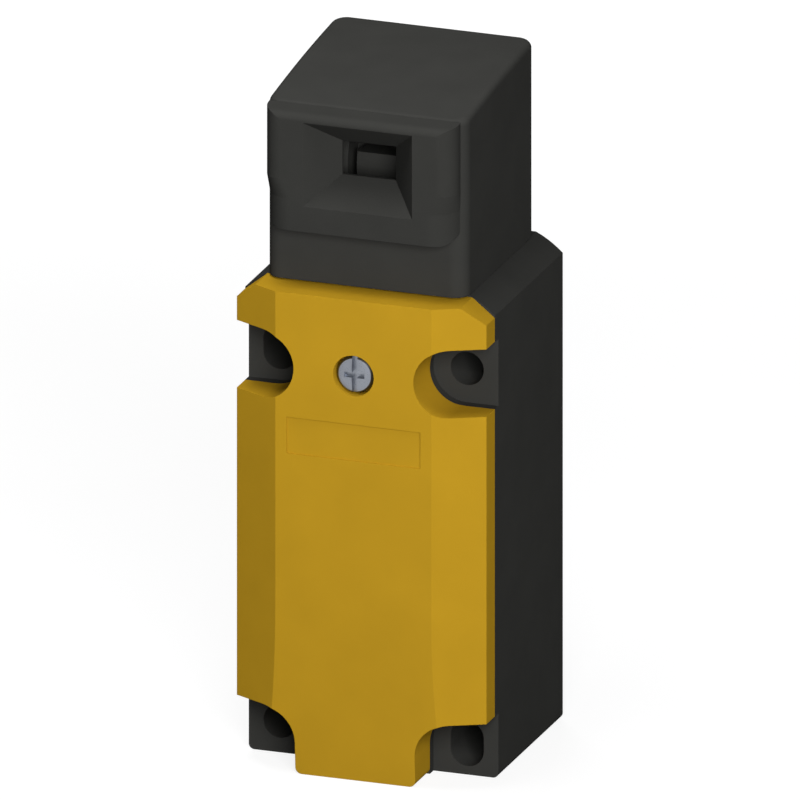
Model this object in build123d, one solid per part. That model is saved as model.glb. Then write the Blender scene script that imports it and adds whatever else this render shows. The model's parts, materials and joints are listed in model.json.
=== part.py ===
from build123d import *
import os
from math import cos, hypot, pi, radians, sin

# Position switch worked by a separate key. Millimetres, +Z up, front towards -Y.
# The origin is on the rear mounting face, at the middle of the four fixing points.

# Enclosure
width = 40.0
body_height = 77.4
body_depth = 30.5
wall = 2.2
rear_wall = 3.0
top_wall = 2.5
foot_corner_r = 0.9
shoulder_run = 4.3
shoulder_drop = 2.9
shoulder_crown_run = 1.7
shoulder_crown_drop = 0.9

# Fixing points: two round holes and two slots
pitch_x = 30.0
hole_edge = 5.0
hole_d = 5.3
slot_length = 7.3
notch_r = 5.4
pocket_step = 1.6

# Cable entry in the underside
entry_r = 9.25
entry_y = -16.0
wiring_height = 5.6

# Cover
cover_depth = 7.5
cover_wall = 2.0
cover_gap = 0.3
cover_flat_half = 12.5
cover_side_depth = 3.75
cover_cut_run = 3.6
cover_cut_drop = 2.9
tab_corner_r = 1.0
sweep_height = 27.0
sweep_back = 0.9
rib_half = 0.6
rib_height = 1.5
rib_root = 0.3
label_half = 10.7
label_drop = 7.8
label_height = 5.8
label_depth = 0.25

# Cover screw
screw_r = 2.0
screw_head_r = 2.9
screw_head_depth = 2.4
screw_head_chamfer = 0.3
cross_half = 1.7
screw_recess = 0.35
screw_hole_r = 3.25
screw_tip_y = -23.2
screw_boss_r = 5.2
drive_slot_width = 0.8
drive_depth = 0.9
insert_r = 3.2
insert_length = 5.5
bridge_half_height = 4.2
bridge_back_y = -22.2

# Gasket
gasket_width = 1.1
gasket_depth = 0.8
gasket_inset = 0.5

# Operating head
head_size = 32.0
head_corner_r = 2.5
least_corner_r = 0.6
head_wall = 2.0
head_axis_y = -16.8
head_gap = 0.05
roof_back = 31.45
roof_mid = 30.1
roof_front = 27.7
roof_edge_r = 1.1
brow_r = 1.2
base_plate_gap = 0.1
base_plate_thick = 2.0
cavity_clearance = 0.2

# Entry bezel and funnel, heights above the plateau
bezel_proud = 3.4
bezel_inset = 0.7
bezel_foot = 9.05
bezel_lower_top = 14.1
bezel_upper_foot = 17.1
bezel_lower_r = 4.4
bezel_edge_r = 2.8
bezel_foot_r = 2.4
plug_inset = 2.5
plug_foot = 12.4
plug_top = 26.9
plug_depth = 2.4
mouth_half = 8.75
mouth_low = 13.1
mouth_high = 26.5
throat_half = 4.3
throat_low = 17.1
throat_high = 22.5
funnel_depth = 5.3

# Neck and retaining ring
neck_gap = 0.5
neck_wall = 3.3
neck_height = 2.3
ring_overlap = 1.5
ring_thick = 1.2
running_gap = 0.08
ring_screw_r = 1.0
ring_screw_head_r = 1.8
ring_screw_head = 1.4
ring_screw_slot = 0.5
ring_screw_slot_depth = 0.6
crown_gap = 0.9
seal_inset = 0.7
seal_width = 1.3
seal_height = 0.9

# Drum, cam and axle
drum_height = 16.6
drum_r = 9.2
drum_play = 0.6
disc_inner = 5.2
hub_r = 5.0
cam_back_deg = 35.0
cam_half = 4.0
cam_start = 8.15
drum_turn_deg = 75.0
travel = 3.0
cam_points = 13
axle_r = 2.0
axle_end = 0.6
notch_low = 2.2
notch_high = 6.4
notch_back = 4.2

# Cradle
cradle_floor = 3.9
cradle_floor_thick = 2.0
cheek_inset = 2.4
cheek_thick = 2.0
cheek_half_depth = 5.0
cup_outer_r = 6.3
cup_inner_r = 5.1
cup_bottom = -0.2
cup_floor = 1.3
post_r = 2.0
post_inset = 2.7
base_screw_r = 0.9
base_screw_head_r = 1.6
base_screw_head = 0.9

# Plunger
plunger_r = 2.5
plunger_cap_r = 4.6
plunger_cap = 1.6
plunger_chamfer = 0.4
plunger_foot = -5.9
plunger_gap = 0.05
plunger_wire_r = 0.4
plunger_coils = 3
diaphragm_low = -2.2
diaphragm_thick = 1.0
diaphragm_lip = 1.2
diaphragm_lip_drop = 0.6

# Contact block
block_half = 15.0
block_top_gap = 1.2
block_front_y = -22.8
block_back_y = -4.2
block_floor = 1.6
block_front_thick = 1.5
block_front_half = 7.8
rib_margin = 0.5
level_count = 3
cells_low = 4.2
cells_high = 2.6
cell_half = 10.0
cell_depth = 6.2
cell_clearance = 0.6

# Slider
slider_half = 4.0
slider_depth = 7.0
slider_gap = 0.12
slider_foot = 6.6
slider_top_drop = 4.0
neck_rod_r = 3.0
window_margin = 6.4
window_depth = 5.0
return_r = 2.4
return_wire_r = 0.35
return_coils = 3

# Bridges and fixed contacts
bridge_half = 8.6
bridge_thick = 0.8
bridge_depth = 4.4
button_r = 1.2
button_height = 0.4
button_place = 7.2
over_travel = 0.5
contact_gap = 0.03
strip_thick = 0.6
strip_inner = 5.6
strip_outer = 12.6
strip_depth = 4.2
spring_wire_r = 0.25
spring_r = 1.5
spring_coils = 2

# Terminals
terminal_x = 11.4
pad_gap = 4.2
washer_margin = 0.3
washer_thick = 0.9
terminal_screw_r = 1.75
terminal_head_margin = 0.1
terminal_head = 2.2
terminal_slot = 0.8
terminal_slot_depth = 0.9
terminal_shank = 6.0
block_screw_r = 1.5
block_screw_head_r = 2.4
block_screw_head = 1.6
block_screw_low = 4.8
block_screw_drop = 4.0
screw_end = 0.8

# Earth terminal on the rear wall, beside the cable entry
earth_inset = 8.0
earth_level = 15.1
earth_size = 4.6
earth_boss_height = 3.0
earth_thick = 0.8
earth_screw_r = 1.5
earth_screw_head_r = 2.1
earth_screw_head = 1.6
earth_slot = 0.6
earth_slot_depth = 0.8

# Shared clearances, and how far cuts reach past a face and joined forms into each other
cut_past = 1.0
sink = 0.2
press_gap = 0.02
thread_play = 0.03
free_fit = 0.05
head_play = 0.1

# Places that follow from the sizes above
pocket_reach = hole_edge + notch_r + wall
pitch_z = body_height - pocket_reach - crown_gap - ring_screw_head - top_wall
foot_z = -(pitch_z / 2 + hole_edge)
block_foot = pocket_reach + wiring_height
block_height = pitch_z - notch_r - wall + hole_edge - block_top_gap - block_foot
level_pitch = (block_height - cells_low - cells_high) / level_count
level_first = cells_low + level_pitch / 2
slider_top = block_height - slider_top_drop
window_height = level_pitch - window_margin
terminal_pad = level_pitch - pad_gap
washer_size = terminal_pad - 2 * washer_margin
terminal_head_r = washer_size / 2 - terminal_head_margin
screw_level = pitch_z / 2
label_high = screw_level - label_drop
label_low = label_high - label_height
earth_x = -(width / 2 - earth_inset)
plateau_z = foot_z + body_height
parting_y = -body_depth
face_y = -(body_depth + cover_depth)
pocket_y = parting_y + pocket_step
chamber_floor_z = foot_z + pocket_reach
chamber_half = width / 2 - wall
head_half = head_size / 2
head_inner = head_half - head_wall
bezel_half = head_half - bezel_inset
plug_half = head_inner - plug_inset
seal_outer_r = head_inner - seal_inset
seal_inner_r = seal_outer_r - seal_width
neck_outer_r = seal_inner_r - neck_gap
neck_inner_r = neck_outer_r - neck_wall
ring_outer_r = neck_outer_r + ring_overlap
ring_screw_circle_r = (neck_outer_r + neck_inner_r) / 2
post_place = head_inner - post_inset
cheek_inner = head_inner - cheek_inset - cheek_thick
drum_half = cheek_inner - drum_play
axle_half = cheek_inner + cheek_thick + axle_end
head_front_y = head_axis_y - head_half
bezel_face_y = head_front_y - bezel_proud
drum_z = plateau_z + drum_height
cam_rate = travel / radians(drum_turn_deg)
upper_z = pitch_z / 2
lower_z = -pitch_z / 2
cover_top_z = plateau_z - cover_gap
block_foot_z = foot_z + block_foot
slider_back_y = head_axis_y + slider_depth / 2
levels = [block_foot_z + level_first + level_pitch * i for i in range(level_count)]
slider_foot_z = block_foot_z + slider_foot
slider_top_z = block_foot_z + slider_top
level_names = ["lower", "middle", "upper"]


def block(x0, x1, y0, y1, z0, z1):
    """Plain block between two corners."""
    size = (x1 - x0, y1 - y0, z1 - z0)
    middle = ((x0 + x1) / 2, (y0 + y1) / 2, (z0 + z1) / 2)
    return Pos(*middle) * Box(*size)


def post(radius, x, y, z0, z1):
    """Upright cylinder."""
    return Pos(x, y, (z0 + z1) / 2) * Cylinder(radius, z1 - z0)


def rod_y(radius, x, z, y0, y1):
    """Cylinder along Y."""
    return Pos(x, (y0 + y1) / 2, z) * Rot(90, 0, 0) * Cylinder(radius, abs(y1 - y0))


def rod_x(radius, y, z, x0, x1):
    """Cylinder along X."""
    return Pos((x0 + x1) / 2, y, z) * Rot(0, 90, 0) * Cylinder(radius, abs(x1 - x0))


def front_prism(sketch, y0, y1):
    """Sketch drawn as (x, z), carried from y0 forward to y1."""
    return Pos(0, y0, 0) * extrude(Plane.XZ * sketch, amount=y0 - y1)


def side_prism(sketch, x_half):
    """Sketch drawn as (y, z), carried from -x_half to +x_half."""
    return Pos(-x_half, 0, 0) * extrude(Plane.YZ * sketch, amount=2 * x_half)


def upright_prism(sketch, z0, z1):
    """Sketch drawn as (x, y), carried from z0 up to z1."""
    return Pos(0, 0, z0) * extrude(sketch, amount=z1 - z0)


def coil(radius, wire_r, x, y, z0, z1, turns):
    """Round-wire spring between two flat seats."""
    height = z1 - z0 - 2 * wire_r
    path = Helix(height / turns, height, radius - wire_r)
    section = Plane(origin=path @ 0, z_dir=path % 0) * RegularPolygon(wire_r, 4)
    return Pos(x, y, z0 + wire_r) * sweep(section, path, is_frenet=True)


def notch_sketch(radius, side, level):
    """Notch round a fixing point, open to the side of the enclosure."""
    centre = side * pitch_x / 2
    reach = width / 2 - pitch_x / 2 + cut_past
    strip = Pos(centre + side * reach / 2, level) * Rectangle(reach, 2 * radius)
    return Pos(centre, level) * Circle(radius) + strip


def foot_notch_sketch(radius, side):
    """Notch round a lower fixing point, open to the side and downward."""
    strip = Pos(side * (pitch_x / 2), lower_z - hole_edge) * Rectangle(2 * radius, 2 * hole_edge)
    corner = Pos(side * (pitch_x / 2 + radius), lower_z - hole_edge)
    return notch_sketch(radius, side, lower_z) + strip + corner * Rectangle(2 * radius, 2 * hole_edge)


def body_outline():
    """Front view of the enclosure: square foot, rounded shoulders."""
    half = width / 2
    left_foot = (-half, foot_z)
    right_foot = (half, foot_z)
    right_side = (half, plateau_z - shoulder_drop)
    right_crown = (half - shoulder_run + shoulder_crown_run, plateau_z - shoulder_crown_drop)
    right_top = (half - shoulder_run, plateau_z)
    left_top = (-right_top[0], plateau_z)
    left_crown = (-right_crown[0], right_crown[1])
    left_side = (-half, right_side[1])
    edges = [
        Line(left_foot, right_foot),
        Line(right_foot, right_side),
        ThreePointArc(right_side, right_crown, right_top),
        Line(right_top, left_top),
        ThreePointArc(left_top, left_crown, left_side),
        Line(left_side, left_foot),
    ]
    face = make_face(edges)
    corners = face.vertices().sort_by(Axis.Y)[:2]
    return fillet(corners, foot_corner_r)


def cover_outline():
    """Front view of the cover: cut top corners, four notches and a foot tab."""
    half = width / 2
    shape = Polygon(
        (-half, foot_z),
        (half, foot_z),
        (half, cover_top_z - cover_cut_drop),
        (half - cover_cut_run, cover_top_z),
        (-half + cover_cut_run, cover_top_z),
        (-half, cover_top_z - cover_cut_drop),
        align=None,
    )
    for side in (-1, 1):
        shape -= notch_sketch(notch_r, side, upper_z)
        shape -= foot_notch_sketch(notch_r, side)
    tab_corners = shape.vertices().filter_by(lambda v: v.Y < foot_z + 0.01)
    return fillet(tab_corners, tab_corner_r)


def chamber_outline(margin=0.0):
    """Front view of the wiring chamber, grown by a margin."""
    low = chamber_floor_z - margin
    high = plateau_z - top_wall + margin
    half = chamber_half + margin
    cut = cover_cut_drop
    shape = Polygon(
        (-half, low),
        (half, low),
        (half, high - cut),
        (half - cut, high),
        (-half + cut, high),
        (-half, high - cut),
        align=None,
    )
    for side in (-1, 1):
        shape -= notch_sketch(notch_r + wall - margin, side, upper_z)
    return shape


def fixing_cut(x, z, slotted):
    """Hole or upright slot through the enclosure at a fixing point."""
    hole = Pos(x, z) * Circle(hole_d / 2)
    if slotted:
        spread = (slot_length - hole_d) / 2
        hole = Pos(x, z + spread) * Circle(hole_d / 2) + Pos(x, z - spread) * Circle(hole_d / 2)
        hole += Pos(x, z) * Rectangle(hole_d, 2 * spread)
    return front_prism(hole, cut_past, parting_y - cut_past)


def enclosure_body():
    shell = front_prism(body_outline(), 0, parting_y)
    shell -= front_prism(chamber_outline(), -rear_wall, parting_y - cut_past)
    for side in (-1, 1):
        pocket = notch_sketch(notch_r, side, upper_z)
        shell -= front_prism(pocket, pocket_y, parting_y - cut_past)
        shell -= front_prism(foot_notch_sketch(notch_r, side), pocket_y, parting_y - cut_past)
        shell -= fixing_cut(side * pitch_x / 2, upper_z, side < 0)
        shell -= fixing_cut(side * pitch_x / 2, lower_z, side > 0)
    groove = chamber_outline(gasket_inset + gasket_width) - chamber_outline(gasket_inset)
    shell -= front_prism(groove, parting_y + gasket_depth, parting_y - cut_past)
    screw_bridge = block(
        -(pitch_x / 2 - notch_r - wall) - cut_past,
        pitch_x / 2 - notch_r - wall + cut_past,
        parting_y + gasket_depth,
        bridge_back_y,
        screw_level - bridge_half_height,
        screw_level + bridge_half_height,
    )
    shell += screw_bridge
    shell -= rod_y(insert_r, 0, screw_level, parting_y, parting_y + gasket_depth + insert_length)
    shell -= rod_y(screw_r + running_gap, 0, screw_level, parting_y, bridge_back_y + cut_past)
    shell += post(neck_outer_r, 0, head_axis_y, plateau_z - sink, plateau_z + neck_height)
    shell -= post(neck_inner_r, 0, head_axis_y, plateau_z - top_wall - cut_past,
                  plateau_z + neck_height + cut_past)
    for x, y in ring_screw_places():
        shell -= post(ring_screw_r, x, y, plateau_z - top_wall - cut_past, plateau_z + neck_height + cut_past)
    shell -= post(entry_r, 0, entry_y, foot_z - cut_past, chamber_floor_z + cut_past)
    for z in block_screw_levels():
        shell -= rod_y(block_screw_r, 0, z, -rear_wall - cut_past, -screw_end)
    shell += earth_boss()
    return shell - rod_y(earth_screw_r, earth_x, foot_z + earth_level,
                         -rear_wall - earth_boss_height - cut_past, -screw_end)


def earth_boss():
    """Boss on the rear wall under the earth plate."""
    z = foot_z + earth_level
    half = earth_size / 2
    front = -rear_wall - earth_boss_height
    return block(earth_x - half, earth_x + half, front, -rear_wall + sink, z - half, z + half)


def cover_profile(inset=0.0):
    """Plan view of the cover: flat front with a bevel on each side."""
    half = width / 2
    back = parting_y if inset == 0 else parting_y + cover_depth
    shape = Polygon(
        (-half, back),
        (-half, parting_y - cover_side_depth),
        (-cover_flat_half, face_y),
        (cover_flat_half, face_y),
        (half, parting_y - cover_side_depth),
        (half, back),
        align=None,
    )
    return offset(shape, -inset, kind=Kind.INTERSECTION) if inset else shape


def cover_sweep():
    """Side view of the cover: the front curves back towards the foot."""
    back = parting_y + 1
    edges = [
        Line((back, foot_z - cut_past), (back, cover_top_z + cut_past)),
        Line((back, cover_top_z + cut_past), (face_y, cover_top_z + cut_past)),
        Line((face_y, cover_top_z + cut_past), (face_y, foot_z + sweep_height)),
        ThreePointArc(
            (face_y, foot_z + sweep_height),
            (face_y + sweep_back / 4, foot_z + sweep_height / 2),
            (face_y + sweep_back, foot_z),
        ),
        Line((face_y + sweep_back, foot_z), (face_y + sweep_back, foot_z - cut_past)),
        Line((face_y + sweep_back, foot_z - cut_past), (back, foot_z - cut_past)),
    ]
    return side_prism(make_face(edges), width)


def cover():
    shell = upright_prism(cover_profile(), foot_z, cover_top_z)
    shell &= front_prism(cover_outline(), parting_y, face_y - cut_past)
    shell &= cover_sweep()
    hollow = upright_prism(cover_profile(cover_wall), foot_z - cut_past, cover_top_z + cut_past)
    hollow &= front_prism(chamber_outline(), parting_y + cut_past, face_y)
    shell -= hollow
    shell += rod_y(screw_boss_r, 0, screw_level, parting_y, face_y + cover_wall)
    shell -= rod_y(screw_hole_r, 0, screw_level, screw_seat_y(), face_y - cut_past)
    shell -= rod_y(screw_r + running_gap, 0, screw_level, parting_y + cut_past, face_y)
    for side in (-1, 1):
        rib_x = side * cover_flat_half / 2
        shell += block(rib_x - rib_half, rib_x + rib_half, face_y + cover_wall - rib_root,
                       face_y + cover_wall + rib_height, chamber_floor_z, screw_level - screw_boss_r)
    return shell - block(-label_half, label_half, face_y - cut_past, face_y + label_depth,
                         label_low, label_high)


def screw_seat_y():
    """Depth at which the cover screw's head bears."""
    return face_y + screw_recess + screw_head_depth


def cover_screw():
    seat = screw_seat_y()
    top = face_y + screw_recess
    head = rod_y(screw_head_r, 0, screw_level, seat, top)
    head = chamfer(head.faces().sort_by(Axis.Y)[0].edges(), screw_head_chamfer)
    screw = head + rod_y(screw_r, 0, screw_level, seat, screw_tip_y)
    slot = block(-drive_slot_width / 2, drive_slot_width / 2, top - cut_past, top + drive_depth,
                 screw_level - screw_head_r, screw_level + screw_head_r)
    cross = block(-cross_half, cross_half, top - cut_past, top + drive_depth,
                  screw_level - drive_slot_width / 2, screw_level + drive_slot_width / 2)
    return screw - slot - cross


def cover_insert():
    start = parting_y + gasket_depth
    sleeve = rod_y(insert_r - press_gap, 0, screw_level, start, start + insert_length)
    return sleeve - rod_y(screw_r + running_gap, 0, screw_level, start - cut_past,
                          start + insert_length + cut_past)


def cover_gasket():
    ring = chamber_outline(gasket_inset + gasket_width - free_fit)
    ring -= chamber_outline(gasket_inset + free_fit)
    return front_prism(ring, parting_y + gasket_depth, parting_y)


def head_square(inset):
    """Plan view of the head, rounded at its corners."""
    size = head_size - 2 * inset
    radius = max(head_corner_r - inset, least_corner_r)
    return Pos(0, head_axis_y) * RectangleRounded(size, size, radius)


def roof_prism(drop, half):
    """Everything under the head's roof curve, lowered by a drop."""
    back_y = head_axis_y + head_half
    base = plateau_z - drop
    middle_y = (back_y + bezel_face_y) / 2
    edges = [
        ThreePointArc(
            (back_y, base + roof_back), (middle_y, base + roof_mid), (bezel_face_y, base + roof_front)
        ),
        Line((bezel_face_y, base + roof_front), (bezel_face_y, plateau_z - cut_past)),
        Line((bezel_face_y, plateau_z - cut_past), (back_y, plateau_z - cut_past)),
        Line((back_y, plateau_z - cut_past), (back_y, base + roof_back)),
    ]
    face = make_face(edges)
    brow = face.vertices().sort_by(Axis.X)[:2].sort_by(Axis.Y)[-1]
    return side_prism(fillet(brow, brow_r), half)


def head_housing():
    low = plateau_z + head_gap
    sky = plateau_z + roof_back + cut_past
    outer = upright_prism(head_square(0), low, sky) & roof_prism(0, head_half)
    roof = outer.faces().sort_by(Axis.Z)[-1]
    sides = roof.edges().filter_by(lambda e: abs(e.center().X) > head_half - cut_past)
    sides = sides.sort_by(lambda e: -e.length)[:2]
    outer = fillet(sides, roof_edge_r)
    cavity = upright_prism(head_square(head_wall), low - cut_past, sky)
    cavity &= roof_prism(head_wall, head_half)
    window = block(-plug_half, plug_half, head_front_y - cut_past, head_front_y + head_wall + cut_past,
                   plateau_z + plug_foot, plateau_z + plug_top)
    return outer - cavity - window


def funnel():
    """Four-sided funnel from the mouth in the bezel to the throat."""
    def frame(half, low, high, y):
        centre = plateau_z + (low + high) / 2
        face = Plane(origin=(0, y, centre), x_dir=(1, 0, 0), z_dir=(0, -1, 0))
        return face * Rectangle(2 * half, high - low)

    mouth = frame(mouth_half, mouth_low, mouth_high, bezel_face_y)
    throat = frame(throat_half, throat_low, throat_high, bezel_face_y + funnel_depth)
    taper = loft([throat, mouth])
    way = block(-throat_half, throat_half, bezel_face_y + funnel_depth - press_gap,
                head_front_y + plug_depth + cut_past, plateau_z + throat_low, plateau_z + throat_high)
    return taper + way


def bezel_plan(edge_r, height):
    """Plan view of the bezel with a radius on its front edges, at a height above the plateau."""
    plan = Pos(0, bezel_face_y + bezel_half) * Rectangle(2 * bezel_half, 2 * bezel_half)
    return Pos(0, 0, plateau_z + height) * fillet(plan.vertices().sort_by(Axis.Y)[:2], edge_r)


def entry_bezel():
    outline = Pos(0, plateau_z + (bezel_foot + roof_back) / 2)
    outline *= Rectangle(2 * bezel_half, roof_back - bezel_foot)
    foot_corners = outline.vertices().sort_by(Axis.Y)[:2]
    outline = fillet(foot_corners, bezel_foot_r)
    upper = extrude(bezel_plan(bezel_edge_r, bezel_upper_foot), amount=roof_back - bezel_upper_foot)
    lower = extrude(bezel_plan(bezel_lower_r, bezel_foot), amount=bezel_lower_top - bezel_foot)
    ends = [bezel_plan(bezel_lower_r, bezel_lower_top), bezel_plan(bezel_edge_r, bezel_upper_foot)]
    plate = upper + loft(ends, ruled=True) + lower
    plate &= front_prism(outline, head_front_y, bezel_face_y - cut_past)
    plate &= roof_prism(0, head_half)
    plug = block(-plug_half + free_fit, plug_half - free_fit, head_front_y - sink, head_front_y + plug_depth,
                 plateau_z + plug_foot + free_fit, plateau_z + plug_top - free_fit)
    return plate + plug - funnel()


def ring_screw_places():
    reach = ring_screw_circle_r * cos(pi / 4)
    return [(sx * reach, head_axis_y + sy * reach) for sx in (-1, 1) for sy in (-1, 1)]


def retaining_ring():
    low = plateau_z + neck_height
    ring = post(ring_outer_r, 0, head_axis_y, low, low + ring_thick)
    ring -= post(neck_inner_r, 0, head_axis_y, low - cut_past, low + ring_thick + cut_past)
    for x, y in ring_screw_places():
        ring -= post(ring_screw_r, x, y, low - cut_past, low + ring_thick + cut_past)
    return ring


def retaining_ring_screws():
    seat = plateau_z - top_wall
    screws = []
    for x, y in ring_screw_places():
        shank = post(ring_screw_r - thread_play, x, y, seat, plateau_z + neck_height + ring_thick)
        head = post(ring_screw_head_r, x, y, seat - ring_screw_head, seat)
        low = seat - ring_screw_head
        slot = block(x - ring_screw_head_r, x + ring_screw_head_r, y - ring_screw_slot / 2,
                     y + ring_screw_slot / 2, low - cut_past, low + ring_screw_slot_depth)
        screws.append(shank + head - slot)
    return Compound(children=screws)


def post_places():
    return [(sx * post_place, head_axis_y + sy * post_place) for sx in (-1, 1) for sy in (-1, 1)]


def head_base_plate():
    low = plateau_z + base_plate_gap
    plate = upright_prism(head_square(head_wall + cavity_clearance), low, low + base_plate_thick)
    plate -= post(neck_outer_r + running_gap, 0, head_axis_y, low - cut_past,
                  low + base_plate_thick + cut_past)
    groove = post(seal_outer_r, 0, head_axis_y, low - cut_past, plateau_z + head_gap + seal_height)
    groove -= post(seal_inner_r, 0, head_axis_y, low - 2, plateau_z + seal_height + cut_past)
    plate -= groove
    for x, y in post_places():
        plate -= post(base_screw_r + head_play, x, y, low - cut_past, low + base_plate_thick + cut_past)
        plate -= post(base_screw_head_r + head_play, x, y, low - cut_past, low + base_screw_head)
    return plate


def head_base_screws():
    low = plateau_z + base_plate_gap
    screws = []
    for x, y in post_places():
        head = post(base_screw_head_r, x, y, low, low + base_screw_head)
        shank = post(base_screw_r, x, y, low + base_screw_head,
                     plateau_z + cradle_floor + cradle_floor_thick)
        screws.append(head + shank)
    return Compound(children=screws)


def head_seal():
    low = plateau_z + head_gap
    ring = post(seal_outer_r - free_fit, 0, head_axis_y, low, low + seal_height)
    return ring - post(seal_inner_r + free_fit, 0, head_axis_y, low - cut_past, low + seal_height + cut_past)


def drum_cradle():
    floor_z = plateau_z + cradle_floor
    floor_top = floor_z + cradle_floor_thick
    frame = upright_prism(head_square(head_wall + cavity_clearance), floor_z, floor_top)
    for x, y in post_places():
        frame += post(post_r, x, y, plateau_z + base_plate_gap + base_plate_thick, floor_z + sink)
    frame += post(cup_outer_r, 0, head_axis_y, plateau_z + cup_bottom, floor_top)
    frame -= post(cup_inner_r, 0, head_axis_y, plateau_z + cup_floor, floor_top + cut_past)
    frame -= post(plunger_r + running_gap, 0, head_axis_y, plateau_z + cup_bottom - cut_past, floor_top)
    for side in (-1, 1):
        inner = side * cheek_inner
        outer = side * (cheek_inner + cheek_thick)
        x0, x1 = min(inner, outer), max(inner, outer)
        cheek = block(x0, x1, head_axis_y - cheek_half_depth, head_axis_y + cheek_half_depth,
                      floor_top - sink, drum_z)
        frame += cheek + rod_x(cheek_half_depth, head_axis_y, drum_z, x0, x1)
    frame -= rod_x(axle_r + press_gap, head_axis_y, drum_z, -head_half, head_half)
    for x, y in post_places():
        frame -= post(base_screw_r + press_gap, x, y, plateau_z, floor_top + cut_past)
    return frame


def drum_axle():
    return rod_x(axle_r, head_axis_y, drum_z, -axle_half, axle_half)


def cam_outline():
    """Side view of the cam. Its flank is the involute that lifts a flat plunger evenly."""
    def on_flank(angle):
        reach = cam_start - cam_rate * angle
        return (
            reach * sin(angle) - cam_rate * cos(angle),
            -reach * cos(angle) - cam_rate * sin(angle),
        )

    last = radians(drum_turn_deg)
    flank = [on_flank(last * i / (cam_points - 1)) for i in range(cam_points)]
    reach = cam_start - travel
    tail = (reach * sin(last) + cam_rate * cos(last), -reach * cos(last) + cam_rate * sin(last))
    tail_r = hypot(*tail)
    back = radians(cam_back_deg)
    crest = flank[0]
    crest_r = hypot(*crest)
    edges = [
        Spline(*flank),
        Line(flank[-1], tail),
        ThreePointArc(tail, (tail_r * cos(back), tail_r * sin(back)), (0, tail_r)),
        Line((0, tail_r), (0, crest_r)),
        ThreePointArc((0, crest_r), (-crest_r, 0), crest),
    ]
    return Pos(head_axis_y, drum_z) * make_face(edges)


def switching_drum():
    drum = side_prism(cam_outline(), cam_half)
    for side in (-1, 1):
        inner = side * cam_half
        outer = side * disc_inner
        drum += rod_x(hub_r, head_axis_y, drum_z, inner - side * sink, outer + side * sink)
        drum += rod_x(drum_r, head_axis_y, drum_z, outer, side * drum_half)
    drum -= block(-disc_inner, disc_inner, head_axis_y - drum_r - cut_past, head_axis_y - notch_back,
                  drum_z + notch_low, drum_z + notch_high)
    return drum - rod_x(axle_r + running_gap, head_axis_y, drum_z, -head_half, head_half)


def plunger_top_z():
    return drum_z - cam_start - plunger_gap


def plunger():
    top = plunger_top_z()
    cap = post(plunger_cap_r, 0, head_axis_y, top - plunger_cap, top)
    cap = chamfer(cap.faces().sort_by(Axis.Z)[-1].edges(), plunger_chamfer)
    stem = post(plunger_r, 0, head_axis_y, plateau_z + plunger_foot, top - plunger_cap)
    return cap + stem


def plunger_spring():
    low = plateau_z + cup_floor
    high = plunger_top_z() - plunger_cap
    return coil(plunger_cap_r - head_play, plunger_wire_r, 0, head_axis_y, low, high, plunger_coils)


def plunger_diaphragm():
    low = plateau_z + diaphragm_low
    disc = post(neck_inner_r - press_gap, 0, head_axis_y, low, low + diaphragm_thick)
    lip = post(plunger_r + diaphragm_lip, 0, head_axis_y, low - diaphragm_lip_drop,
               low + diaphragm_thick)
    return disc + lip - post(plunger_r + running_gap, 0, head_axis_y, low - cut_past,
                             low + diaphragm_thick + cut_past)


def block_screw_levels():
    return [block_foot_z + block_screw_low, block_foot_z + block_height - block_screw_drop]


def contact_base():
    top_z = block_foot_z + block_height
    base = block(-block_half, block_half, block_front_y, block_back_y, block_foot_z, top_z)
    guide = slider_half + slider_gap
    base -= block(-guide, guide, block_front_y - cut_past, slider_back_y + slider_gap,
                  block_foot_z + block_floor, top_z + cut_past)
    for z, name in zip(levels, level_names):
        low, high = cell_heights(z, name)
        base -= block(-cell_half, cell_half, block_front_y - cut_past,
                      head_axis_y + cell_depth / 2, low, high)
    for side in (-1, 1):
        for z, name in zip(levels, level_names):
            base -= rod_y(terminal_screw_r, side * terminal_x, z, block_front_y - cut_past,
                          block_front_y + terminal_shank)
            base -= strip_slot(side, z, name)
    for z in block_screw_levels():
        base -= rod_y(block_screw_r, 0, z, block_back_y + cut_past, slider_back_y - cut_past)
        base -= rod_y(block_screw_head_r, 0, z, slider_back_y + 1 - slider_depth,
                      slider_back_y + slider_gap + block_screw_head)
    return base


def cell_heights(z, name):
    """Floor and ceiling of a contact cell, with room for the bridge's stroke."""
    level = bridge_level(z, name)
    edge = bridge_thick / 2 + cell_clearance
    strip = strip_level(z, name)
    if name == "middle":
        return strip - strip_thick / 2, level + travel - over_travel + edge
    return level - edge, strip + strip_thick / 2


def strip_level(z, name):
    """Height of the middle of a fixed strip: over the bridge if that closes upward."""
    middle = bridge_level(z, name)
    stack = bridge_thick / 2 + 2 * button_height + strip_thick / 2 + contact_gap
    if name == "middle":
        return middle - stack
    return middle + stack + travel - over_travel


def bridge_level(z, name):
    """Height of the middle of a bridge at rest, at the end of its window."""
    reach = window_height / 2 - bridge_thick / 2
    if name == "middle":
        return z - reach + over_travel
    return z + reach


def strip_block(side, z, name, grow):
    """Flat strip from the contact cell out to the terminal."""
    level = strip_level(z, name)
    x0 = side * strip_inner
    x1 = side * (strip_outer + grow)
    return block(min(x0, x1), max(x0, x1), block_front_y - grow, head_axis_y + strip_depth / 2,
                 level - strip_thick / 2 - grow, level + strip_thick / 2 + grow)


def strip_slot(side, z, name):
    return strip_block(side, z, name, press_gap)


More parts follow.
